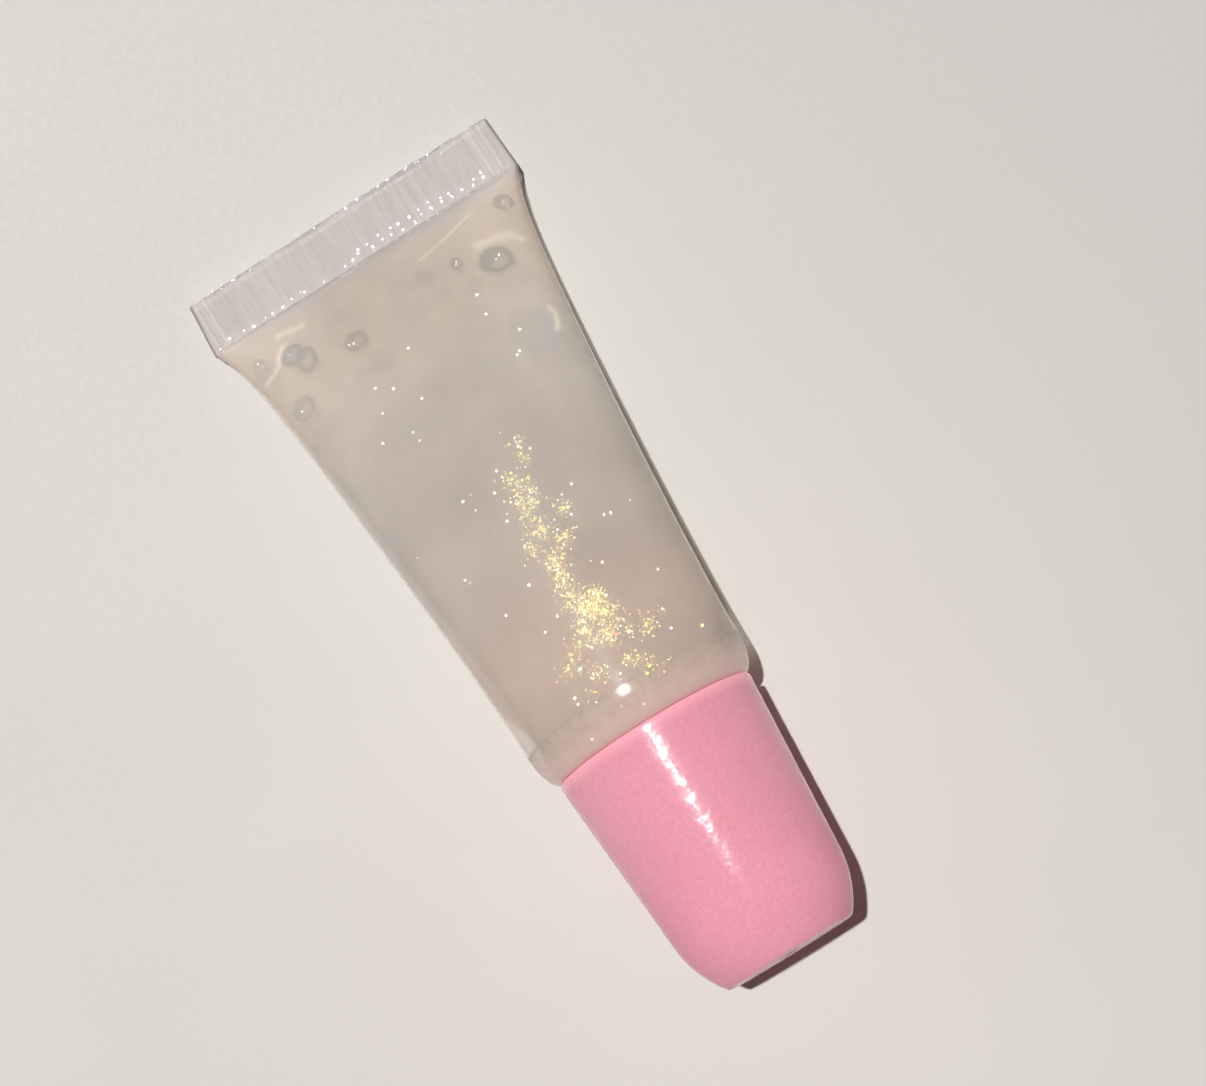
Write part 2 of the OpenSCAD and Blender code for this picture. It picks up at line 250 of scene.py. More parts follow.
def thread(root_r, crest_r, at, start, steps_per_turn=72):
    """A ridge that winds around the axis and fades in and out. It sinks into its wall by 0.2 mm."""
    sweep = 2 * math.pi * THREAD_TURNS
    steps = round(steps_per_turn * THREAD_TURNS)
    sink = 0.2 if crest_r < root_r else -0.2
    lower_half = [(-0.575, 0), (-0.36, 0.7), (-0.26, 0.93), (-0.15, 1)]
    section = lower_half + [(-offset, rise) for offset, rise in reversed(lower_half)]
    fade_angle = 0.8
    least = 0.12
    points = []
    for k in range(steps + 1):
        turned = sweep * k / steps
        grown = min(1, turned / fade_angle, (sweep - turned) / fade_angle)
        grown = least + (1 - least) * grown * grown * (3 - 2 * grown)
        a = start + turned
        for offset, rise in section:
            r = root_r + sink + (crest_r - root_r - sink) * rise * grown
            s = at + THREAD_PITCH * a / (2 * math.pi) + offset
            points.append((s, -r * math.sin(a), r * math.cos(a)))
    width = len(section)
    faces = tube_faces(steps + 1, width)
    faces.append(tuple(range(width - 1, -1, -1)))
    faces.append(tuple(steps * width + i for i in range(width)))
    ridge = mesh_object("thread_ridge", points, faces, [])
    weld(ridge, 0.0001)
    return ridge


def unite(piece, other, operation="UNION"):
    """Joins another solid into the piece, or cuts it out, and removes the other."""
    modifier = piece.modifiers.new("unite", "BOOLEAN")
    modifier.operation = operation
    modifier.solver = "EXACT"
    modifier.object = other
    bpy.context.view_layer.update()
    evaluated = piece.evaluated_get(bpy.context.evaluated_depsgraph_get())
    mesh = bpy.data.meshes.new_from_object(evaluated)
    piece.modifiers.clear()
    piece.data = mesh
    bpy.data.objects.remove(other)
    mesh.polygons.foreach_set("use_smooth", [True] * len(mesh.polygons))
    mesh.set_sharp_from_angle(angle=math.radians(40))


# ---- Materials ----

# Where along the tube the gloss and film start to turn grey, are greyest and are rosiest, in mm
GREY_FROM = 13
GREY_AT = 28
ROSY_AT = 42


class Look:
    """A node material. add() makes a node and sets or links its inputs."""

    def __init__(self, name):
        self.material = bpy.data.materials.new(name)
        self.material.use_nodes = True
        self.tree = self.material.node_tree
        self.tree.nodes.clear()
        self.out = self.tree.nodes.new("ShaderNodeOutputMaterial")
        self.coordinates = self.add("ShaderNodeTexCoord").outputs["Object"]

    def put(self, socket, value):
        """Gives an input a value of its own, or links it if the value is another node's output."""
        if isinstance(value, bpy.types.NodeSocket):
            self.tree.links.new(value, socket)
        else:
            socket.default_value = value

    def add(self, kind, inputs=None, **settings):
        node = self.tree.nodes.new(kind)
        for key, value in settings.items():
            setattr(node, key, value)
        for key, value in (inputs or {}).items():
            self.put(node.inputs[key], value)
        return node

    def grain(self, size_mm, detail=2.0, rough=0.5, stretch=None):
        """Noise from 0 to 1 whose features are about size_mm across."""
        vector = self.coordinates
        if stretch:
            vector = self.add("ShaderNodeMapping", {"Vector": vector, "Scale": stretch}).outputs[0]
        inputs = {"Vector": vector, "Scale": 1 / (size_mm * MM), "Detail": detail, "Roughness": rough}
        return self.add("ShaderNodeTexNoise", inputs).outputs["Fac"]

    def ranged(self, value, low, high, from_low=0.3, from_high=0.7):
        """A value brought smoothly from one range to another, held at the ends."""
        inputs = {
            "Value": value, "From Min": from_low, "From Max": from_high, "To Min": low, "To Max": high,
        }
        return self.add("ShaderNodeMapRange", inputs, interpolation_type="SMOOTHSTEP").outputs[0]

    def blend(self, share, first, second, kind="MIX"):
        """A colour between two colours, or with kind MULTIPLY the product of both."""
        node = self.add("ShaderNodeMix", data_type="RGBA", blend_type=kind)
        for key, value in ((0, share), (6, first), (7, second)):
            self.put(node.inputs[key], value)
        return node.outputs[2]

    def bump(self, height, depth_mm, strength=1.0, normal=None):
        inputs = {"Height": height, "Distance": depth_mm * MM, "Strength": strength}
        if normal:
            inputs["Normal"] = normal
        return self.add("ShaderNodeBump", inputs).outputs[0]

    def place_along(self):
        """Place along the tube's axis in mm from the cut end of the seal."""
        inputs = {0: self.coordinates, 1: tuple(ORIGIN)}
        offset = self.add("ShaderNodeVectorMath", inputs, operation="SUBTRACT")
        inputs = {0: offset.outputs[0], 1: tuple(AXIS / MM)}
        return self.add("ShaderNodeVectorMath", inputs, operation="DOT_PRODUCT").outputs["Value"]

    def attribute(self, name):
        return self.add("ShaderNodeAttribute", attribute_name=name).outputs["Fac"]

    def math(self, operation, first, second):
        node = self.add("ShaderNodeMath", {0: first, 1: second}, operation=operation)
        return node.outputs[0]

    def times(self, first, second):
        return self.math("MULTIPLY", first, second)

    def plus(self, first, *others):
        for other in others:
            first = self.math("ADD", first, other)
        return first

    def toned(self, colour):
        """The colour as it is along the tube: greyer at the middle and rosier towards the cap."""
        place = self.place_along()
        grey = self.ranged(place, 0, 1, GREY_FROM, GREY_AT)
        rosy = self.ranged(place, 0, 1, GREY_AT, ROSY_AT)
        tone = self.blend(grey, (1, 1, 1, 1), (0.90, 0.89, 0.915, 1))
        tone = self.blend(rosy, tone, (0.955, 0.87, 0.845, 1))
        return self.blend(1.0, colour, tone, "MULTIPLY")

    def surface(self, shader):
        self.tree.links.new(shader, self.out.inputs["Surface"])
        return self.material

    def see_through(self, shader, solid, tint=(1, 1, 1, 1)):
        """The shader over what is behind it. solid is its share."""
        clear = self.add("ShaderNodeBsdfTransparent", {"Color": tint})
        mix = self.add("ShaderNodeMixShader", {0: solid, 1: clear.outputs[0], 2: shader.outputs[0]})
        return self.surface(mix.outputs[0])

    def plastic(self, inputs):
        return self.add("ShaderNodeBsdfPrincipled", inputs)


def film_look():
    """Soft clear polyethylene: faintly frosted, paler where it is folded, greyer where it is pressed.

    The paleness at the folds is partly stress whitening and partly a painted highlight. The dark bubble
    discs and the dark line at the seal's side ends are painted shade. The glow at the edge and the sides is
    painted light: it stands for light that the film carries inside it.
    """
    look = Look("sleeve_film")
    whitening_and_highlight = look.attribute("whitening_and_highlight")
    pressed = look.attribute("pressed")
    rim = look.attribute("rim")
    place = look.place_along()
    fine = look.grain(0.35, 3)
    broad = look.grain(7, 2)
    streaks = look.grain(0.45, 3, 0.6, (0.1, 1, 0.1))
    plain = look.blend(look.ranged(broad, 0, 1), (0.88, 0.825, 0.765, 1), (0.92, 0.865, 0.81, 1))
    clouds = look.ranged(look.grain(2.6, 4, 0.6), 0.0, 0.55)
    plain = look.blend(clouds, plain, (0.97, 0.88, 0.80, 1))
    hollows = look.ranged(look.grain(3.4, 3, 0.55), 0.0, 0.75)
    hollows = look.times(hollows, look.ranged(place, 1.0, 0.25, 14, 28))
    plain = look.blend(hollows, plain, (0.76, 0.725, 0.715, 1))
    plain = look.blend(look.attribute("peach"), look.toned(plain), (1.0, 0.87, 0.765, 1))
    # Cool lines; the first is the painted bluish crescent of the large air bubble.
    plain = look.blend(look.times(look.attribute("cool"), 0.8), plain, (0.82, 0.81, 0.86, 1))
    shade = look.attribute("shade")
    # Painted shade: dark discs and rims where air bubbles lie under the film.
    plain = look.blend(shade, plain, (0.32, 0.31, 0.30, 1))
    seal = look.blend(look.ranged(streaks, 0, 1), (0.76, 0.725, 0.725, 1), (0.83, 0.80, 0.80, 1))
    colour = look.blend(pressed, plain, seal)
    # Pale folds and seal end lines: partly stress whitening, partly a painted highlight where the folds
    # catch the light.
    colour = look.blend(whitening_and_highlight, colour, (1.0, 0.91, 0.76, 1))
    # Painted shade: a dark line along the seal's side ends, for the shadow under its edge that shows
    # through.
    colour = look.blend(rim, colour, (0.30, 0.28, 0.25, 1))
    solid = look.plus(look.ranged(broad, 0.42, 0.47), look.times(pressed, 0.18), look.times(whitening_and_highlight, 0.4))
    solid = look.plus(solid, look.times(rim, 0.4), look.times(shade, 0.45))
    edge = look.add("ShaderNodeLayerWeight", {"Blend": 0.25}).outputs["Facing"]
    solid = look.math("MAXIMUM", solid, look.ranged(edge, 0.0, 0.85, 0.2, 1.0))
    # Painted light: the film glows at grazing edges and at its sides.
    painted_rim_light = look.times(look.ranged(edge, 0.0, 0.14, 0.35, 0.95), look.ranged(place, 0.0, 1.0, 6, 14))
    painted_side_light = look.times(look.attribute("side"), 0.085)
    shader = look.plastic({
        "Base Color": colour,
        "Roughness": look.ranged(fine, 0.15, 0.24),
        "IOR": 1.5,
        "Specular IOR Level": look.ranged(place, 0.5, 0.15, 32, 42),
        "Emission Color": (1.0, 0.94, 0.86, 1),
        "Emission Strength": look.plus(painted_rim_light, painted_side_light),
        "Normal": look.bump(fine, 0.003, 1.0, look.bump(broad, 0.03)),
    })
    return look.see_through(shader, solid)


def film_inside_look():
    """The sleeve's inner face, wetted by the gloss: almost clear."""
    look = Look("sleeve_film_inside")
    fine = look.grain(1.5, 2)
    shader = look.plastic({
        "Base Color": look.blend(fine, (0.86, 0.80, 0.72, 1), (0.90, 0.84, 0.76, 1)),
        "Roughness": look.ranged(fine, 0.35, 0.5),
    })
    return look.see_through(shader, look.ranged(fine, 0.02, 0.05))


def gel_look():
    """Thick clear gloss: warm, a little cloudy, with faint swirls."""
    look = Look("gloss_gel")
    swirl = look.grain(8, 3, 0.5)
    fine = look.grain(1.2, 3)
    warmth = look.attribute("warm")
    colour = look.blend(look.ranged(swirl, 0, 1), (0.82, 0.76, 0.69, 1), (0.90, 0.83, 0.74, 1))
    colour = look.blend(warmth, look.toned(colour), (1.0, 0.84, 0.66, 1))
    shader = look.plastic({
        "Base Color": colour,
        "Roughness": look.ranged(fine, 0.2, 0.32),
        "Specular IOR Level": 0.2,
        "Normal": look.bump(swirl, 0.1, 1.0, look.bump(fine, 0.01)),
    })
    return look.see_through(shader, look.ranged(swirl, 0.36, 0.44), (1, 0.98, 0.95, 1))


def bubble_look():
    """The inside face of an air bubble: clear in the middle and painted dark towards its rim, as painted
    shade for the light that the bubble bends away.
    """
    look = Look("air_bubble")
    fine = look.grain(0.6, 2)
    edge = look.add("ShaderNodeLayerWeight", {"Blend": 0.5}).outputs["Facing"]
    # Painted shade: a dark grey face that is more solid towards the rim.
    shader = look.plastic({
        "Base Color": look.blend(fine, (0.24, 0.225, 0.215, 1), (0.34, 0.32, 0.30, 1)),
        "Roughness": look.ranged(fine, 0.08, 0.14),
        "IOR": 1.45,
        "Normal": look.bump(fine, 0.01),
    })
    return look.see_through(shader, look.ranged(edge, 0.45, 0.9, 0.2, 0.85))


def glitter_look(name, colours, metallic, glow, roughness=0.36):
    """Flakes, each with its own colour. Their glow is painted light: it stands for the light that they
    throw to and fro.
    """
    look = Look(name)
    own = look.add("ShaderNodeNewGeometry").outputs["Random Per Island"]
    ramp = look.add("ShaderNodeValToRGB", {"Fac": own})
    ramp.color_ramp.interpolation = "CONSTANT"
    while len(ramp.color_ramp.elements) < len(colours):
        ramp.color_ramp.elements.new(0.5)
    for element, (start, colour) in zip(ramp.color_ramp.elements, colours):
        element.position = start
        element.color = (*colour, 1)
    fine = look.grain(0.05, 1)
    shader = look.plastic({
        "Base Color": ramp.outputs[0],
        "Emission Color": ramp.outputs[0],
        "Emission Strength": glow,
        "Metallic": metallic,
        "Roughness": look.ranged(fine, roughness - 0.06, roughness + 0.06),
        "Normal": look.bump(fine, 0.002),
    })
    return look.surface(shader.outputs[0])


def cap_look():
    """Glossy pink moulded plastic, shinier near the mouth. Its rim has a painted glow for light let
    through, and the rest of the cap a faint painted glow.
    """
    look = Look("cap_gloss")
    ripple = look.grain(1.3, 2)
    fine = look.grain(0.25, 3)
    tone = look.grain(9, 2)
    colour = look.blend(look.ranged(tone, 0, 1), (0.90, 0.375, 0.49, 1), (0.93, 0.40, 0.525, 1))
    colour = look.blend(look.ranged(fine, 0, 0.25), colour, (0.97, 0.50, 0.60, 1))
    mottle = look.ranged(look.grain(0.3, 2, 0.6), 0, 0.38, 0.38, 0.62)
    colour = look.blend(mottle, colour, (0.84, 0.32, 0.435, 1))
    place = look.place_along()
    shader = look.plastic({
        "Base Color": colour,
        "Roughness": look.ranged(fine, 0.13, 0.18),
        "Specular IOR Level": look.ranged(place, 0.41, 0.05, CAP_AT + 7, CAP_AT + 15),
        # Painted light: a glow at the mouth that fades to a faint one over the whole cap.
        "Emission Color": (1.0, 0.50, 0.58, 1),
        "Emission Strength": look.ranged(place, 0.22, 0.012, CAP_AT - 0.1, CAP_AT + 1.2),
        "IOR": 1.5,
        "Subsurface Weight": 0.15,
        "Subsurface Radius": (1.0, 0.4, 0.45),
        "Subsurface Scale": 0.8 * MM,
        "Normal": look.bump(ripple, 0.034, 1.0, look.bump(fine, 0.0012)),
    })
    return look.surface(shader.outputs[0])


def moulded_look(name, dark, light, roughness):
    """Plain moulded polyethylene or polypropylene with a fine satin grain."""
    look = Look(name)
    fine = look.grain(0.18, 3)
    tone = look.grain(4, 2)
    shader = look.plastic({
        "Base Color": look.blend(look.ranged(tone, 0, 1), (*dark, 1), (*light, 1)),
        "Roughness": look.ranged(fine, roughness - 0.06, roughness + 0.06),
        "Normal": look.bump(fine, 0.004),
        "Subsurface Weight": 0.2,
        "Subsurface Radius": (1.0, 0.8, 0.7),
        "Subsurface Scale": 0.8 * MM,
    })
    return look.surface(shader.outputs[0])


def head_look():
    """Natural polyethylene, milky at the neck. Towards the cap it is painted pink, for the cap's colour as
    it shows through, and has a painted glow for light carried in the plastic.
    """
    look = Look("head_plastic")
    fine = look.grain(0.2, 3)
    place = look.place_along()
    # Painted: the cap's pink as it shows through the clear shoulder.
    pink = look.ranged(place, 0.0, 1.0, SLEEVE_END, SHOULDER_AT)
    colour = look.blend(pink, (0.82, 0.72, 0.63, 1), (0.76, 0.57, 0.53, 1))
    blots = look.ranged(look.grain(0.9, 4, 0.65), 0.0, 0.5)
    colour = look.blend(blots, colour, (0.66, 0.51, 0.46, 1))
    on_neck = look.ranged(place, 0.0, 1.0, SHOULDER_AT, SHOULDER_AT + 1)
    colour = look.blend(on_neck, colour, (0.86, 0.74, 0.73, 1))
    hidden = look.ranged(place, 0.05, 0.12, ROUND_AT, SLEEVE_END)
    shown = look.ranged(place, 0.0, 0.38, SLEEVE_END - 0.02, SLEEVE_END)
    rising = look.ranged(place, 0.0, 0.38, SLEEVE_END - 0.4, SHOULDER_AT - 0.3)
    solid = look.plus(hidden, shown, rising)
    shader = look.plastic({
        "Base Color": colour,
        "Roughness": look.ranged(fine, 0.14, 0.22),
        "Normal": look.bump(fine, 0.003),
        # Painted light: a glow towards the cap, for light carried in the plastic.
        "Emission Color": (1.0, 0.70, 0.66, 1),
        "Emission Strength": look.ranged(place, 0.0, 0.08, SLEEVE_END + 0.5, SHOULDER_AT),
    })
    return look.see_through(shader, solid)


# Painted shade: the floor is painted darker towards the picture's top right corner, as the light falls off.
# Which way it darkens, and from where to where in metres
FLOOR_SHADE_WAY = (-0.23, 0.973, 0)
FLOOR_SHADE_FROM = -0.01
FLOOR_SHADE_TO = 0.07


def floor_look():
    """Matte pale surface with a faint mottle, and painted shade towards one corner."""
    look = Look("floor")
    fine = look.grain(0.5, 4)
    broad = look.grain(30, 3)
    colour = look.blend(look.ranged(broad, 0, 1), (0.73, 0.732, 0.713, 1), (0.75, 0.752, 0.733, 1))
    # Painted shade: darker towards the top right corner.
    inputs = {0: look.coordinates, 1: FLOOR_SHADE_WAY}
    far = look.add("ShaderNodeVectorMath", inputs, operation="DOT_PRODUCT").outputs["Value"]
    colour = look.blend(look.ranged(far, 0, 1, FLOOR_SHADE_FROM, FLOOR_SHADE_TO), colour, (0.65, 0.65, 0.645, 1))
    shader = look.plastic({
        "Base Color": colour,
        "Roughness": look.ranged(fine, 0.5, 0.65),
        "Specular IOR Level": 0.25,
        "Normal": look.bump(fine, 0.02, 0.6),
    })
    return look.surface(shader.outputs[0])


# ---- Shape of the sleeve, as in the CAD model ----


def smooth(x):
    """A smooth step from 0 at x = 0 to 1 at x = 1."""
    x = np.clip(x, 0, 1)
    return x * x * (3 - 2 * x)


def fullness(s):
    """0 at the inner edge of the seal, 1 where the sleeve is round."""
    return np.clip((s - SEAL_L) / (ROUND_AT - SEAL_L), 0, 1)


def half_width(s):
    """Half the sleeve's width: it widens to the seal, most of all right beside it."""
    u = fullness(s)
    near_share = 0.23
    flare = (1 - near_share) * (1 - u) ** 1.3 + near_share * np.exp(-u / FLARE_REACH)
    band = 0.2 * smooth(1 - s / SEAL_L)
    return TUBE_R + (SEAL_W / 2 - TUBE_R) * flare - band


def straight_edge(s):
    """Depth below the axis of the surface that the tube lies on."""
    return TUBE_R - (ROUND_AT - np.minimum(s, ROUND_AT)) * math.tan(REST_TILT)


def opening(s):
    """0 at the seal, 1 where the lower face lies on the surface."""
    v = np.clip((s - SEAL_L) / OPENING_L, 0, 1)
    return 1 - (1 - v) ** 2


def flat_depth(s):
    """Depth of the flat that the lower face is pressed to."""
    return WALL_T + (straight_edge(s) - WALL_T) * opening(s)


def full_depth(s, inset):
    """Depth that the lower face would reach if it were as round below as at its sides."""
    back = np.clip((ROUND_AT - s) / (ROUND_AT - FLAT_FROM), 0, 1)
    flat_half_w = (FLAT_TIP_W + (REST_FLAT_W - FLAT_TIP_W) * back ** 1.3) / 2
    n = squareness(s)
    return (flat_depth(s) - inset) / (1 - (flat_half_w / (half_width(s) - inset)) ** n) ** (1 / n)


def height_above(s):
    """Height of the upper face over the axis."""
    u = fullness(s)
    return WALL_T + (TUBE_R - WALL_T) * np.sqrt(1 - (1 - u) ** 2)


def squareness(s):
    """Exponent of a section's outline: 2 where it is round, more where it is nearer to a box."""
    u = fullness(s)
    return 2 + 0.3 * (1 - u) + 1.7 * np.exp(-u / 0.04) + 9 * smooth((SEAL_L + 0.3 - s) / 0.8)


# Pleats pressed into the film beside the seal: each one's width and (y, s) points
PLEATS = [
    (0.13, [(3.0, 8.1), (4.9, 7.8), (6.5, 7.4), (8.1, 6.9), (9.5, 6.6)]),
    (0.38, [(7.4, 9.5), (8.4, 9.5), (9.6, 9.6), (10.7, 9.9), (11.3, 10.4), (11.7, 11.0)]),
    (0.24, [(10.2, 16.2), (10.5, 17.2), (10.2, 18.1), (9.7, 18.9)]),
    (0.28, [(-9.4, 6.8), (-8.6, 6.8), (-7.8, 7.1), (-6.4, 7.4)]),
    (0.22, [(-12.2, 9.8), (-11.5, 9.5), (-10.8, 9.4), (-10.1, 9.0), (-9.8, 8.4), (-9.2, 7.9), (-8.5, 7.7)]),
]
PLEAT_H = 0.1
# Height of the small dents in the slack film, and of the slow waves of the whole sleeve
DENT_H = 0.16
SWAY_H = 0.05
# Lines where the film looks cool instead of warm. The first is painted light: the bluish crescent inside
# the rim of the large air bubble
COOL_LINES = [
    (0.3, [(9.3, 16.1), (9.5, 17.0), (9.5, 18.0), (9.3, 18.7)]),
    (0.55, [(-14.6, 5.5), (0.0, 5.1), (14.6, 5.4)]),
]
# Painted shade of the air bubbles as they show through the film: place along and across, radius and how
# dark
DISCS = [
    (11.2, 8.7, 1.35, 1.0), (8.9, -8.8, 1.05, 1.1), (10.0, -8.0, 1.15, 1.0), (11.1, -3.9, 1.0, 0.75),
    (13.1, -10.2, 1.1, 0.9), (9.9, 5.9, 0.6, 0.8), (9.5, 3.2, 0.8, 0.4), (8.0, -11.6, 0.75, 0.8),
    (7.1, 11.6, 0.8, 1.0), (17.8, 8.4, 2.2, 0.5), (15.6, -10.2, 0.9, 0.4), (9.3, 1.2, 1.0, 0.3),
]


def line_share(lines, y, s):
    """How much a point is on one of the lines, from 0 to 1."""
    share = np.zeros_like(y)
    for width, line in lines:
        for k, (a, b) in enumerate(zip(line, line[1:])):
            step = np.subtract(b, a)
            t = ((y - a[0]) * step[0] + (s - a[1]) * step[1]) / (step @ step)
            t = np.clip(t, 0, 1)
            distance = np.hypot(y - a[0] - t * step[0], s - a[1] - t * step[1])
            place = (k + t) / (len(line) - 1)
            fade = smooth(place / 0.15) * smooth((1 - place) / 0.15)
            share = np.maximum(share, fade * np.exp(-(distance / width) ** 2))
    return share


def painted_bubble_shade(y, s):
    """How much painted shade an air bubble puts on the film at a point, most at the bubble's rim."""
    share = np.zeros_like(y)
    for at, across, radius, depth in DISCS:
        angle = np.arctan2(y - across, s - at)
        uneven = 1 + 0.09 * np.sin(2 * angle + 3 * at) + 0.04 * np.sin(5 * angle)
        d = np.hypot(s - at, y - across) / radius * uneven
        inside = smooth((1.15 - d) / 0.4) * (0.55 + 0.16 * np.cos(angle + 2.4))
        rim = np.exp(-((d - 0.8) / 0.2) ** 2) * (0.26 + 0.2 * np.cos(angle - 0.8))
        share = np.maximum(share, depth * (inside + rim))
    return share


def waves(points, size, seed):
    """Smooth noise from -1 to 1 at points in the tube's frame, with features of about size mm."""
    shift = Vector((seed * 17.3, seed * 5.1, seed * 9.7))
    return np.array([noise.noise(Vector(p) / size + shift) for p in points])


# The seal: ribs between two ends that are smooth but for two lines each. It is skewed and wavy.
RIBS = 30
RIB_PITCH = (SEAL_W - 0.2) / RIBS
RIB_H = 0.13
RIBS_FROM = -12.75
RIBS_TO = 12.1
GROOVE_DEPTH = 0.1
TEETH_H = 0.09
BORDER_LINES = (-13.6, -12.8, 12.2, 13.1)
BORDER_LINE_W = 0.11
BORDER_LINE_H = 0.12
SEAL_SKEW = 0.28
SKEW_END = 14


def seal_skew(y):
    """How far the seal's skew moves a point towards the cut end."""
    return SEAL_SKEW * y / (SEAL_W / 2)


def seal_lift(y):
    """Height that the seal's wave gives to a point."""
    return 0.12 * np.sin(y * 0.35 + 0.8)


def border_share(y):
    """How much a point is on a smooth line at one of the seal's ends, from 0 to 1."""
    return sum(np.exp(-((y - at) / BORDER_LINE_W) ** 2) for at in BORDER_LINES)


def rib_height(y):
    """Height of the seal's ribs and of the smooth lines at its two ends."""
    ribs = 0.5 + 0.5 * np.cos(2 * math.pi * y / RIB_PITCH)
    inside = smooth((y - RIBS_FROM) / 0.4) * smooth((RIBS_TO - y) / 0.4)
    ribs = RIB_H * ribs ** 1.5 * inside * (0.75 + 0.25 * np.sin(1.7 * y + 0.6))
    return ribs + BORDER_LINE_H * border_share(y)


def sleeve_ring(s, inset, count):
    """One section of the sleeve at s as (y, z) arrays, from the +y edge over the top and back below."""
    i = np.arange(count)
    top = i <= count // 2
    q = np.where(top, 1 - 4 * i / count, 4 * i / count - 3)
    even = smooth((s - SEAL_L + 0.4) / 3)
    g = (1 - even) * q + even * np.sin(math.pi * q / 2)
    n = squareness(s)
    height = np.where(top, height_above(s) - inset, full_depth(s, inset))
    z = height * np.clip(1 - np.abs(g) ** n, 0, 1) ** (1 / n)
    return (half_width(s) - inset) * g, np.where(top, z, -np.minimum(z, flat_depth(s) - inset))


def grid_stations():
    """Places along the outer face: close together at the seal and its pleats, and at the round end."""
    seal = np.concatenate([[0, 0.04, 0.12, 0.25], np.linspace(0.5, 3.9, 10), np.linspace(4.05, 5.5, 14)])
    pleats = np.linspace(5.6, 19.2, 104)
    body = np.linspace(19.5, SLEEVE_END - 0.5, 60)
    end = SLEEVE_END + np.array([-0.35, -0.2, -0.1, -0.04, 0])
    return np.concatenate([seal, pleats, body, end])


def add_layers(piece, layers):
    """Adds named values for the first points of a piece, for its materials. The other points have 0."""
    for name, values in layers.items():
        layer = piece.data.attributes.new(name, "FLOAT", "POINT")
        filled = np.zeros(len(piece.data.vertices), np.float32)
        filled[: len(values)] = values
        layer.data.foreach_set("value", filled)


def make_sleeve():
    """The squeeze sleeve: ribbed seal band, pleats beside it and a wall with an inner face."""
    count = 420
    stations = grid_stations()
    points = []
    for s in stations:
        y, z = sleeve_ring(s, 0, count)
        points.append(np.column_stack([np.full(count, s), y, z]))
    points = np.concatenate(points)
    s, y, z = points.T.copy()
    s_flat, y_flat, z_flat = s, y, z
    face = np.sign(z) * smooth(np.abs(z) / 0.3)
    on_seal = smooth((SEAL_L - 0.15 - s) / 0.45)
    pressed = smooth((SEAL_L + 0.25 - s) / 0.5)
    slack = (1 - fullness(s)) ** 2 * smooth((s - SEAL_L) / 3)
    z = z + face * on_seal * (rib_height(y) * smooth(s / 0.2) - GROOVE_DEPTH)
    z = z + DENT_H * waves(points, 5.5, 1) * slack * face
    z = z + SWAY_H * waves(points, 9, 2) * (1 - fullness(s)) * (1 - pressed)
    pleats = line_share(PLEATS, y, s) * (z > 0)
    z = z + PLEAT_H * pleats
    z = z + pressed * seal_lift(y)
    teeth = TEETH_H * (np.cos(2 * math.pi * y / RIB_PITCH) + waves(points * [0, 1, 0], 1.7, 3))
    s = s + teeth * smooth((0.6 - s) / 0.6) - seal_skew(y) * smooth(1 - s / SKEW_END)
    outer = np.column_stack([s, y, z])
    faces = tube_faces(len(stations), count, flip=True)
    faces.append(tuple(range(count)))
    slots = [0] * len(faces)

    inner_count = 140
    inner_stations = HOLLOW_AT + (SLEEVE_END - HOLLOW_AT) * np.linspace(0, 1, 80) ** 1.5
    inner = []
    for at in inner_stations:
        y, z = sleeve_ring(at, FILM_T, inner_count)
        inner.append(np.column_stack([np.full(inner_count, at), y, z]))
    base = len(outer)
    last = base + (len(inner_stations) - 1) * inner_count
    inner_faces = tube_faces(len(inner_stations), inner_count, base)
    inner_faces.append(tuple(base + inner_count - 1 - i for i in range(inner_count)))
    faces.extend(inner_faces)
    slots.extend([1] * len(inner_faces))
    outer_last = base - count
    step = count // inner_count
    for i in range(inner_count):
        j = (i + 1) % inner_count
        outer_arc = [outer_last + (i * step + k) % count for k in range(step + 1)]
        faces.append((*reversed(outer_arc), last + i, last + j))
        slots.append(0)
    looks = [film_look(), film_inside_look()]
    piece = mesh_object("sleeve", np.concatenate([outer, *inner]), faces, looks, slots)
    # Pale folds and lines at the seal's ends: partly stress whitening, partly a painted highlight.
    whitening_and_highlight = np.maximum(pleats * 0.55, 0.45 * border_share(y_flat) * on_seal)
    from_side = half_width(s_flat) - np.abs(y_flat)
    # Painted shade along the seal's side ends.
    rim = smooth((0.26 - from_side) / 0.16) * smooth((SEAL_L + 1.5 - s_flat) / 1.2)
    upper = (z_flat > 0) * (1 - pressed)
    # Painted shade of the air bubbles, on the upper face.
    shade = painted_bubble_shade(y_flat, s_flat) * upper
    cool = line_share(COOL_LINES, y_flat, s_flat) * upper
    sideways = np.abs(y_flat) / half_width(s_flat)
    peach = upper * smooth((21 - s_flat) / 9) * (0.2 + 0.5 * sideways ** 2)
    peach = peach * (1 + 0.8 * waves(points, 3.5, 6))
    # Painted light: the sides glow, more on the right between about 12 and 30 mm and on the left near the
    # seal.
    right = 0.9 * smooth((s_flat - 12) / 6) * smooth((30 - s_flat) / 8) - 0.15 * smooth((s_flat - 24) / 6)
    right = (y_flat > 0) * right
    left = (y_flat < 0) * 0.75 * smooth((20 - s_flat) / 10)
    side = upper * smooth((sideways - 0.25) / 0.6) * (1 + right + left)
    add_layers(piece, {
        "whitening_and_highlight": whitening_and_highlight, "pressed": pressed, "rim": rim, "shade": shade, "cool": cool, "peach": peach,
        "side": side,
    })
    settle(piece, "tube", "sleeve_film", "tube_sleeve")


# ---- Gloss ----

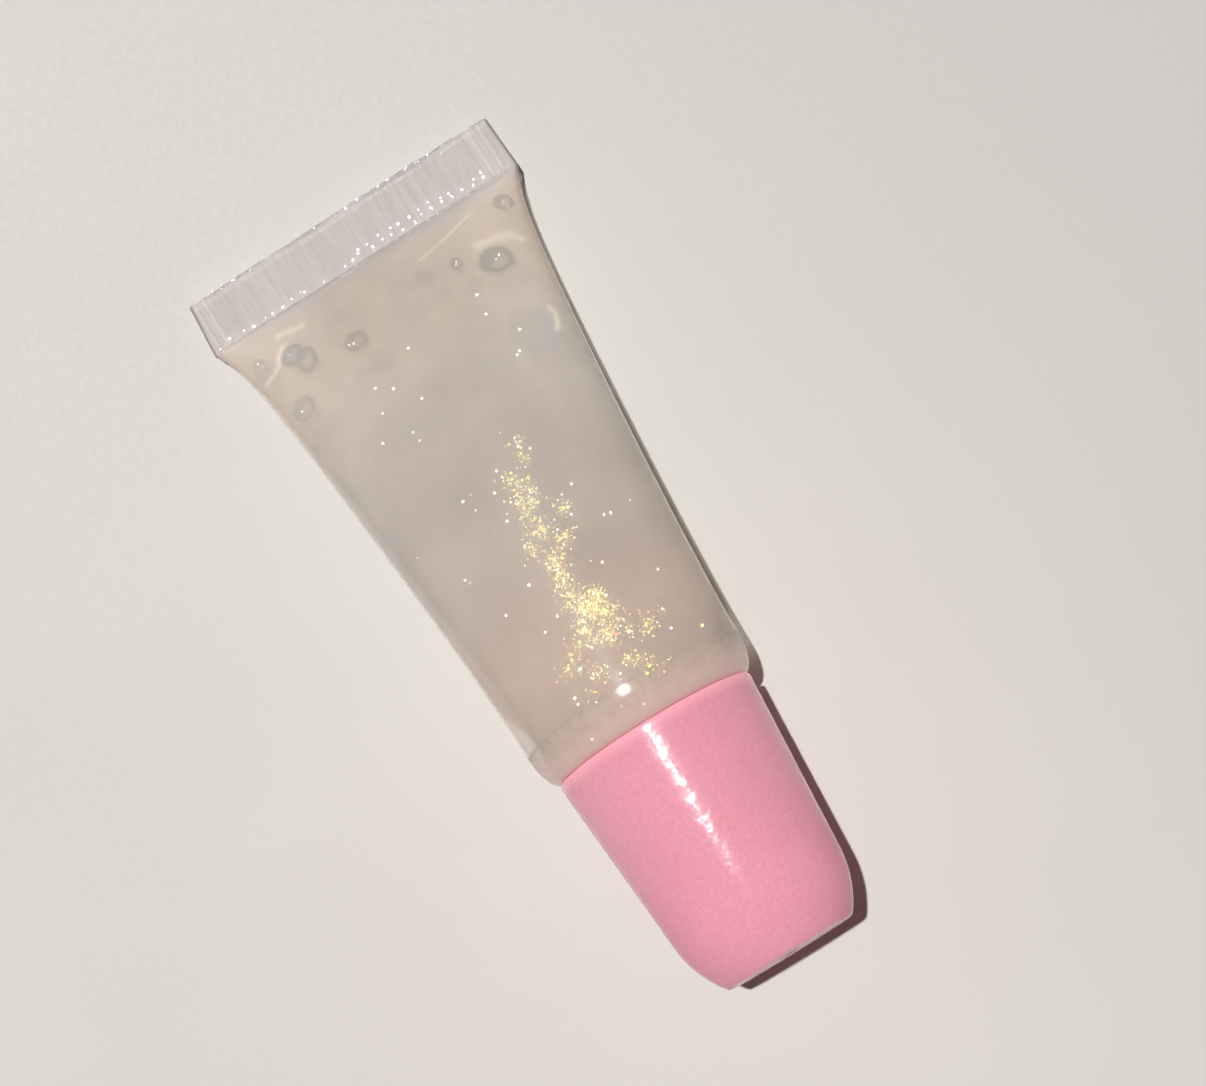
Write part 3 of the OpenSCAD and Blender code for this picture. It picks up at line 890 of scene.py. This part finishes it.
# Air bubbles of the CAD model: place along, place across and radius. They have risen to the film, so
# they are drawn close under it.
BUBBLES = [
    (8, -11.2, 0.6), (8.7, -9, 0.8), (10.1, -7.9, 0.9), (11.1, -3.9, 1), (13.1, -10.2, 1.1),
    (15.6, -10.2, 0.8), (9.9, 5.9, 0.6), (11.2, 8.7, 1.3), (9.5, 3.2, 0.7), (17.8, 8.4, 1.7),
]
BUBBLE_DEPTH = 0.3


def make_gel():
    """The gloss fills the sleeve and the head, and has the air bubbles as hollows."""
    count = 144
    gap = 0.03
    stations = HOLLOW_AT + gap + (ROUND_AT - HOLLOW_AT - 0.1) * np.linspace(0, 1, 110) ** 1.3
    rings = []
    for at in stations:
        narrowing = (TUBE_R - HEAD_INNER_R - FILM_T) * smooth((at - ROUND_AT + 3) / 3)
        y, z = sleeve_ring(at, FILM_T + gap + narrowing, count)
        rings.append(np.column_stack([np.full(count, at), y, z]))
    t = np.arange(count) * 2 * math.pi / count
    neck = [
        (ROUND_AT - 0.03, HEAD_INNER_R - gap), (HEAD_CONE_AT, HEAD_INNER_R - gap),
        (SHOULDER_AT - 1, BORE_R - gap), (NECK_END - 5.1, BORE_R - gap),
    ]
    for at, r in neck:
        rings.append(np.column_stack([np.full(count, at), r * np.cos(t), r * np.sin(t)]))
    points = np.concatenate(rings)
    faces = tube_faces(len(rings), count, flip=True)
    faces.append(tuple(range(count)))
    faces.append(tuple((len(rings) - 1) * count + count - 1 - i for i in range(count)))
    slots = [0] * len(faces)
    all_points = [points]
    offset = len(points)
    for number, (s, y, r) in enumerate(BUBBLES):
        ball = bmesh.new()
        bmesh.ops.create_icosphere(ball, subdivisions=4, radius=r)
        ball.verts.ensure_lookup_table()
        co = np.array([v.co for v in ball.verts])
        roof = (height_above(s) - FILM_T) * math.sqrt(1 - (y / half_width(s)) ** 2)
        z = float(roof) - BUBBLE_DEPTH - r
        co = co * (1 + 0.09 * waves(co, 1.8 * r, 4 + number))[:, None] + (s, y, z)
        faces.extend(tuple(offset + v.index for v in reversed(f.verts)) for f in ball.faces)
        slots.extend([1] * len(ball.faces))
        all_points.append(co)
        offset += len(co)
        ball.free()
    piece = mesh_object("gloss", np.concatenate(all_points), faces, [gel_look(), bubble_look()], slots)
    s, y, z = points.T
    warm = smooth((20 - s) / 12) * smooth((s - 5) / 2) * (0.55 + 0.45 * waves(points, 4.5, 11))
    add_layers(piece, {"warm": np.clip(warm, 0, 1)})
    settle(piece, "tube", "gloss_gel", "gloss_fill")


# ---- Glitter ----

# Where the glitter gathers: place along, place across, spread along, spread across, share
DRIFTS = [
    (25.3, 2.6, 0.45, 0.4, 5), (26.5, 2.5, 0.35, 0.35, 5), (27.4, 0.8, 0.45, 0.5, 9),
    (28.7, 1.3, 0.5, 0.45, 9), (29.3, 0.4, 0.4, 0.4, 8), (29.6, 1.5, 0.4, 0.4, 5),
    (30.4, 0.5, 0.45, 0.45, 10), (33.1, -0.7, 0.4, 0.35, 7), (32.1, 0.8, 0.5, 0.5, 13),
    (33.5, 1.8, 0.45, 0.45, 9), (31.3, 3.0, 0.4, 0.4, 5), (34.7, 0.4, 0.6, 0.45, 15),
    (36.0, 0.2, 0.6, 0.4, 16), (37.8, 0.0, 0.6, 0.55, 16), (39.1, 0.8, 0.55, 0.55, 36),
    (38.5, 1.8, 0.5, 0.45, 13), (40.0, 1.9, 0.5, 0.5, 12), (40.4, -0.5, 0.5, 0.5, 12),
    (41.2, 1.0, 0.5, 0.55, 16), (41.9, 0.8, 0.4, 0.4, 8), (41.2, -1.8, 0.45, 0.5, 6),
    (42.1, -2.9, 0.4, 0.5, 6), (42.7, -2.4, 0.4, 0.5, 4), (43.4, -1.2, 0.4, 0.5, 5),
    (41.9, 2.3, 0.5, 0.4, 5), (42.6, 3.6, 0.4, 0.35, 5), (42.0, 4.2, 0.4, 0.35, 3),
    (41.9, 5.4, 0.5, 0.4, 2), (44.9, -2.2, 0.4, 0.5, 2), (44.2, 1.6, 0.4, 0.5, 5),
    (45.3, 2.3, 0.4, 0.5, 4), (45.8, 3.4, 0.4, 0.5, 2), (33.0, 0.6, 8.0, 4.0, 7),
]
# Single bright flakes away from the streak, whose shine is a strong painted glow: place along and across
LONE_FLAKES = [
    (19.3, -6.2), (17.1, 7.4), (15.2, -4.5), (17.3, -5.0), (16.1, -3.3), (13.9, -0.7), (18.1, -1.8),
    (12.9, 6.0), (14.7, 5.8), (18.9, 6.2), (18.7, 6.5), (26.9, -3.2), (27.7, -0.8), (26.3, 0.2),
    (30.1, -1.1), (30.1, 4.5), (36.6, 3.4), (33.5, 5.9), (33.4, 5.4), (39.0, 6.7), (36.1, -4.9),
    (38.9, -3.0), (35.2, -2.2), (32.0, -6.2), (44.3, -3.7), (44.9, -3.7), (44.6, 0.2), (41.9, 5.4),
    (43.5, 5.2), (47.5, 0.5), (41.2, 2.5), (42.2, 2.4), (47.6, -4.2), (32.2, 3.3), (38.4, -1.6),
    (41.8, -0.6), (42.7, -2.2),
]
FLAKES = 900
DUST = 2600
FLAKE_T = 0.02
UNDER_SHOULDER = 0.15
STREWN_FROM = 9
STREWN_TO = 46.8
# Colours of flakes: each one's share starts at the number before it
GOLD = [
    (0.0, (0.62, 0.46, 0.10)), (0.20, (1.0, 0.90, 0.22)), (0.45, (1.0, 0.96, 0.45)),
    (0.62, (1.0, 0.98, 0.78)), (0.70, (0.78, 0.95, 0.30)), (0.86, (0.98, 0.62, 0.24)),
    (0.91, (0.90, 0.34, 0.24)), (0.95, (0.80, 0.92, 1.0)),
]
ICY = [
    (0.0, (1.0, 1.0, 1.0)), (0.4, (0.80, 0.88, 1.0)), (0.65, (1.0, 0.88, 0.96)),
    (0.8, (1.0, 0.92, 0.75)), (0.9, (0.85, 1.0, 0.92)),
]
GOLD_DUST = [
    (0.0, (0.95, 0.84, 0.14)), (0.4, (0.98, 0.90, 0.26)), (0.7, (0.76, 0.88, 0.22)),
    (0.88, (0.98, 0.66, 0.20)),
]
FACES_PER_FLAKE = 8


def flake(points, faces, centre, size, turn):
    """Adds a thin six-sided flake."""
    base = len(points)
    for side in (-0.5, 0.5):
        for k in range(6):
            a = math.pi * k / 3
            corner = turn @ Vector((size / 2 * math.cos(a), size / 2 * math.sin(a), side * FLAKE_T))
            points.append(tuple(centre + corner))
    faces.append(tuple(base + 5 - k for k in range(6)))
    faces.append(tuple(base + 6 + k for k in range(6)))
    faces.extend((base + k, base + (k + 1) % 6, base + 6 + (k + 1) % 6, base + 6 + k) for k in range(6))


def tilt(draw, spread):
    """A random turn of a flake whose face is within about spread degrees of level."""
    lean = math.radians(min(85, abs(draw.gauss(0, spread))))
    about = draw.uniform(0, 2 * math.pi)
    spin = Matrix.Rotation(draw.uniform(0, math.pi), 3, "Z")
    lying = Matrix.Rotation(-REST_TILT, 3, "Y").inverted()
    return lying @ Matrix.Rotation(lean, 3, Vector((math.cos(about), math.sin(about), 0))) @ spin


def under_film(s, y, depth):
    """Height over the axis of a point at a depth under the sleeve's wall, or just under the shoulder."""
    if s > ROUND_AT:
        rise = max(0, (s - SLEEVE_END) / (SHOULDER_AT - SLEEVE_END))
        radius = TUBE_R - SHOULDER_ROUND_R * (1 - math.sqrt(1 - min(1, rise) ** 2))
        return math.sqrt(radius ** 2 - y ** 2) - UNDER_SHOULDER
    width = half_width(np.array(s))
    roundness = max(0.02, 1 - (y / width) ** 2)
    roof = (height_above(np.array(s)) - WALL_T) * math.sqrt(roundness)
    return float(roof - depth)


def scatter(draw, count, sizes, lean, depths):
    """Points and faces of flakes strewn over the drifts.

    sizes gives the smallest flake, how much larger the mean one is, and the largest.
    """
    smallest, mean_more, largest = sizes
    points = []
    faces = []
    weights = [d[4] for d in DRIFTS]
    for _ in range(count):
        at, across, spread_s, spread_y, _share = draw.choices(DRIFTS, weights)[0]
        s = min(max(draw.gauss(at, spread_s), STREWN_FROM), STREWN_TO)
        width = 0.8 * float(half_width(np.array(s)))
        y = min(max(draw.gauss(across, spread_y), -width), width)
        z = under_film(s, y, draw.uniform(*depths))
        size = min(largest, smallest + draw.expovariate(1 / mean_more))
        flake(points, faces, Vector((s, y, z)), size, tilt(draw, lean))
    return points, faces


def make_glitter():
    """Gold flakes in a streak under the top of the sleeve, with finer dust among and below them."""
    draw = random.Random(11)
    sizes = (0.10, 0.045, 0.27)
    points, faces = scatter(draw, FLAKES, sizes, lean=12, depths=(0.22, 0.6))
    for s, y in LONE_FLAKES:
        z = under_film(s, y, 0.3)
        flake(points, faces, Vector((s, y, z)), draw.uniform(0.2, 0.3), tilt(draw, 8))
    # Painted light: the flakes glow to show their glints, the lone flakes most.
    looks = [
        glitter_look("glitter", GOLD, metallic=0.45, glow=1.5),
        glitter_look("lone_glitter", ICY, metallic=0.3, glow=2.4),
    ]
    strewn_faces = len(faces) - FACES_PER_FLAKE * len(LONE_FLAKES)
    slots = [0] * strewn_faces + [1] * (len(faces) - strewn_faces)
    piece = mesh_object("glitter", points, faces, looks, slots, smooth=False)
    settle(piece, "tube", "glitter", "glitter_flakes")
    sizes = (0.06, 0.025, 0.14)
    points, faces = scatter(draw, DUST, sizes, lean=26, depths=(0.6, 1.5))
    look = glitter_look("glitter_dust", GOLD_DUST, metallic=0.4, glow=0.6, roughness=0.4)
    piece = mesh_object("glitter_dust", points, faces, [look], smooth=False)
    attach(piece, "tube")


# Places across where specks shine at the seal's cut edge
EDGE_GLINTS = [-11.8, -11.0, -9.9, -8.3, -2.2, 0.8, 1.8, 3.8, 4.8, 6.5, 7.5, 8.5]
# Painted highlights on the air bubbles, drawn as glowing specks: place along and across
PAINTED_BUBBLE_HIGHLIGHTS = [
    (7.7, -11.6), (8.2, -11.2), (8.8, -9.0), (10.0, -8.2), (11.2, -4.4), (11.3, -4.1), (13.3, -10.3),
    (7.0, 11.6), (7.5, 11.7), (11.2, 8.7), (10.9, 9.0), (9.9, 5.9),
]


def make_seal_glints():
    """Glowing specks: glitter caught where the ribs of the seal end and at its cut edge, whose shine is a
    painted glow, and painted highlights on the air bubbles.
    """
    draw = random.Random(5)
    points = []
    faces = []
    on_ribs = WALL_T + 0.16
    on_edge = 0.14
    inner_row = 4.1
    outer_row = 3.6
    chance_of_gap = 0.07

    def speck(s, y, z, size, crumbs):
        for _ in range(crumbs):
            centre = Vector((s + draw.gauss(0, 0.07), y + draw.gauss(0, 0.08), z))
            flake(points, faces, centre, size * draw.uniform(0.5, 1), tilt(draw, 11))

    ribs_a_side = 13
    for k in range(-ribs_a_side, ribs_a_side):
        y = k * RIB_PITCH
        z = on_ribs + float(seal_lift(y))
        rows = [inner_row] if y < 0 else [outer_row, inner_row]
        for row in rows:
            if draw.random() < chance_of_gap:
                continue
            s = row - seal_skew(y) + draw.gauss(0, 0.09)
            speck(s, y + draw.gauss(0, 0.08), z, draw.uniform(0.15, 0.24), draw.choice((1, 1, 2)))
    for y in EDGE_GLINTS:
        z = on_ribs + float(seal_lift(y))
        speck(on_edge - seal_skew(y), y, z, 0.16 if y > 0 else 0.11, 2)
    # Painted highlights on the air bubbles, lying on the film.
    for s, y in PAINTED_BUBBLE_HIGHLIGHTS:
        speck(s, y, under_film(s, y, -WALL_T - 0.12), 0.15, 2)
    look = glitter_look("seal_glitter_and_bubble_highlights", ICY, metallic=0.4, glow=0.85)
    piece = mesh_object("seal_glitter_and_bubble_highlights", points, faces, [look], smooth=False)
    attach(piece, "tube")


# ---- Turned pieces ----


def make_head():
    """Shoulder and threaded neck, welded into the sleeve's round end. The shoulder meets the cap."""
    skirt_r = TUBE_R - WALL_T - 0.05
    shoulder_flat_r = TUBE_R - SHOULDER_ROUND_R
    shoulder_end = SHOULDER_AT + 0.18
    shoulder_l = shoulder_end - SLEEVE_END
    rise = TUBE_R - 0.02 - shoulder_flat_r
    arc = [
        (SLEEVE_END + shoulder_l * math.sin(t), shoulder_flat_r + rise * math.cos(t), 0)
        for t in np.linspace(0, math.pi / 2, 25)
    ]
    profile = [
        (ROUND_AT, HEAD_INNER_R, 0.1), (ROUND_AT, skirt_r, 0.1), (SLEEVE_END, skirt_r, 0),
        *arc,
        (shoulder_end, NECK_R, 0.25), (NECK_END, NECK_R, 0.2), (NECK_END, BORE_R, 0.1),
        (SHOULDER_AT - 1, BORE_R, 0.3), (HEAD_CONE_AT, HEAD_INNER_R, 0.3),
    ]
    piece = lathe("shoulder_and_neck", rounded(profile), [head_look()])
    unite(piece, thread(NECK_R, NECK_R + THREAD_H, THREAD_AT, 0))
    settle(piece, "tube", "head_plastic", "tube_head")


def make_tip():
    """Soft applicator tip with a slanted face and a hole."""
    end_r = 0.82 * TIP_R
    plug_at = NECK_END - PLUG_L
    profile = [
        (plug_at, PLUG_BORE_R, 0.1), (plug_at, BORE_R - 0.2, 0.1), (plug_at + 0.4, BORE_R, 0.1),
        (NECK_END, BORE_R, 0.05), (NECK_END, TIP_R, 0.2), (NECK_END + 0.8, TIP_R, 0.15),
        (TIP_END - 1.2, end_r, 0.8), (TIP_END, end_r - 0.7, 0.8), (TIP_END, OUTLET_R, 0.2),
        (NECK_END + 3.2, OUTLET_R, 0.2), (NECK_END + 2.2, PLUG_BORE_R, 0.3),
    ]
    look = moulded_look("tip_plastic", (0.80, 0.76, 0.71), (0.86, 0.82, 0.78), 0.34)
    piece = lathe("applicator", rounded(profile), [look])
    reach = 8
    low = Vector((TIP_END, 0, -0.5 * end_r))
    along_face = Vector((-math.sin(TIP_SLANT), 0, math.cos(TIP_SLANT)))
    outward = Vector((math.cos(TIP_SLANT), 0, math.sin(TIP_SLANT)))
    corners = [
        low + a * reach * along_face + b * reach * ACROSS + c * reach * outward
        for c in (0, 1) for a, b in ((-1, -1), (1, -1), (1, 1), (-1, 1))
    ]
    faces = [(3, 2, 1, 0), (4, 5, 6, 7), *ring_faces(0, 4, 4)]
    cutter = mesh_object("tip_cut", corners, faces, [])
    weld(cutter)
    unite(piece, cutter, "DIFFERENCE")
    bevel = piece.modifiers.new("soft_edges", "BEVEL")
    bevel.width = 0.25 * MM
    bevel.segments = 4
    bevel.limit_method = "ANGLE"
    bevel.angle_limit = math.radians(35)
    settle(piece, "tube", "tip_plastic", "applicator_tip")


def make_washer():
    """Foam ring that seals the neck's rim."""
    inner_r = TIP_R + 0.25
    profile = [
        (WASHER_AT, inner_r, 0.15), (WASHER_AT, WASHER_R, 0.2),
        (WASHER_END, WASHER_R, 0.2), (WASHER_END, inner_r, 0.15),
    ]
    look = moulded_look("washer_foam", (0.84, 0.84, 0.82), (0.92, 0.92, 0.90), 0.8)
    piece = lathe("sealing_ring", rounded(profile), [look])
    settle(piece, "seal_ring", "washer_foam", "seal_washer")


def make_inner_cap():
    """Threaded liner of the cap, with a closed chamber over the tip."""
    bore_wall_r = NECK_R + THREAD_H + 0.15
    wall_r = bore_wall_r + 1.1
    ledge = WASHER_END + 0.05
    chamber_r = TIP_R + 0.55
    chamber_out_r = chamber_r + 0.85
    chamber_end = TIP_END + 1.2
    profile = [
        (INNER_AT, bore_wall_r, 0.2), (INNER_AT, INNER_R, 0.1), (INNER_AT + 1, INNER_R - 0.07, 0.1),
        (INNER_AT + 1, wall_r, 0.2), (ledge + 1.1, wall_r, 0.3), (ledge + 1.1, chamber_out_r, 0.2),
        (INNER_END, chamber_out_r - 0.3, 0.4), (INNER_END, 0, 0), (chamber_end, 0, 0),
        (chamber_end, chamber_r - 0.3, 0.3), (ledge, chamber_r, 0.1), (ledge, bore_wall_r, 0.15),
    ]
    look = moulded_look("inner_cap_plastic", (0.70, 0.34, 0.42), (0.76, 0.39, 0.47), 0.36)
    piece = lathe("inner_cap_liner", rounded(profile), [look])
    start = math.radians(160)
    unite(piece, thread(bore_wall_r, NECK_R + 0.15, THREAD_AT - THREAD_PITCH / 2, start))
    settle(piece, "cap", "inner_cap_plastic", "inner_cap")


def cap_radius(s):
    """Outer radius of the cap: a straight taper and then a large rounding."""
    round_at = CAP_TO - CAP_ROUND_L
    if s < round_at:
        return CAP_MOUTH_R - (s - CAP_AT) * math.tan(CAP_TAPER)
    start_r = CAP_MOUTH_R - (round_at - CAP_AT) * math.tan(CAP_TAPER)
    dx = s - round_at + CAP_ROUND_R * math.sin(CAP_TAPER)
    return start_r - CAP_ROUND_R * math.cos(CAP_TAPER) + math.sqrt(CAP_ROUND_R ** 2 - dx ** 2)


def make_cap():
    """Outer shell of the cap, with a softened mouth and a crisp edge at the flat end."""
    side = [(s, cap_radius(s), 0) for s in np.linspace(CAP_AT + 0.6, CAP_TO - 0.3, 60)]
    inside_end = CAP_TO - CAP_WALL_T
    inner = [(s, cap_radius(s) - CAP_WALL_T, 0) for s in np.linspace(inside_end - 0.3, CAP_AT + 0.6, 40)]
    gate_r = 0.9
    gate_depth = 0.06
    profile = [
        (CAP_AT, cap_radius(CAP_AT) - CAP_WALL_T, 0.18), (CAP_AT, cap_radius(CAP_AT), 0.22),
        *side,
        (CAP_TO, cap_radius(CAP_TO) - 0.04, 0.16),
        (CAP_TO, gate_r, 0.05), (CAP_TO - gate_depth, gate_r - 0.05, 0.05), (CAP_TO - gate_depth, 0, 0),
        (inside_end, 0, 0), (inside_end, cap_radius(inside_end) - CAP_WALL_T, 0.2),
        *inner,
    ]
    piece = lathe("cap_outer", rounded(profile), [cap_look()], 224)
    settle(piece, "cap", "cap_gloss", "cap_shell")


make_sleeve()
make_gel()
make_glitter()
make_seal_glints()
make_head()
make_tip()
make_washer()
make_inner_cap()
make_cap()

# ---- Floor, light and camera ----

FLOOR_HALF_M = 3.0
floor_mesh = bpy.data.meshes.new("floor")
floor_build = bmesh.new()
bmesh.ops.create_grid(floor_build, x_segments=8, y_segments=8, size=FLOOR_HALF_M)
floor_build.to_mesh(floor_mesh)
floor_build.free()
floor = bpy.data.objects.new("floor", floor_mesh)
floor.location.z = cad_low.z
floor_mesh.materials.append(floor_look())
bpy.context.scene.collection.objects.link(floor)

# The surround: a pale band at the horizon that fades into a dim, warm sky
HORIZON = (0.66, 0.655, 0.66, 1)
SKY = (0.064, 0.032, 0.016, 1)
SKY_FROM = 0.3
world = bpy.data.worlds.new("studio")
world.use_nodes = True
bpy.context.scene.world = world
tree = world.node_tree
background = tree.nodes["Background"]
direction = tree.nodes.new("ShaderNodeTexCoord")
split = tree.nodes.new("ShaderNodeSeparateXYZ")
ramp = tree.nodes.new("ShaderNodeValToRGB")
ramp.color_ramp.elements[0].position = 0.0
ramp.color_ramp.elements[0].color = HORIZON
ramp.color_ramp.elements[1].position = SKY_FROM
ramp.color_ramp.elements[1].color = SKY
tree.links.new(direction.outputs["Generated"], split.inputs[0])
tree.links.new(split.outputs["Z"], ramp.inputs["Fac"])
tree.links.new(ramp.outputs["Color"], background.inputs["Color"])

# The key light: small and far away like the sun that lights the photo, from nearly overhead
KEY_TRAVEL = Vector((0.205, 0.067, -1))
KEY_ENERGY = 2.8
KEY_WIDTH = math.radians(0.9)
KEY_COLOUR = (1.0, 0.975, 0.94)
key_light = bpy.data.lights.new("key", "SUN")
key_light.energy = KEY_ENERGY
key_light.angle = KEY_WIDTH
key_light.color = KEY_COLOUR
key = bpy.data.objects.new("key", key_light)
key.rotation_mode = "QUATERNION"
key.rotation_quaternion = KEY_TRAVEL.to_track_quat("-Z", "Y")
bpy.context.scene.collection.objects.link(key)

# The camera looks straight down. VIEW_WIDTH is how much of the floor it sees across.
CAMERA_HEIGHT = 0.25
VIEW_WIDTH = 0.09687
CAMERA_OVER = Vector((-0.0007, 0.0042, 0))
CAMERA_TURN = math.radians(58.32)
camera_data = bpy.data.cameras.new("camera")
camera_data.sensor_width = 36
camera_data.lens = camera_data.sensor_width * CAMERA_HEIGHT / VIEW_WIDTH
camera_data.clip_start = 0.01
camera = bpy.data.objects.new("camera", camera_data)
camera.location = CAMERA_OVER + Vector((0, 0, CAMERA_HEIGHT))
camera.rotation_euler = (0, 0, CAMERA_TURN)
bpy.context.scene.collection.objects.link(camera)
bpy.context.scene.camera = camera
bpy.context.scene.view_settings.view_transform = "Standard"
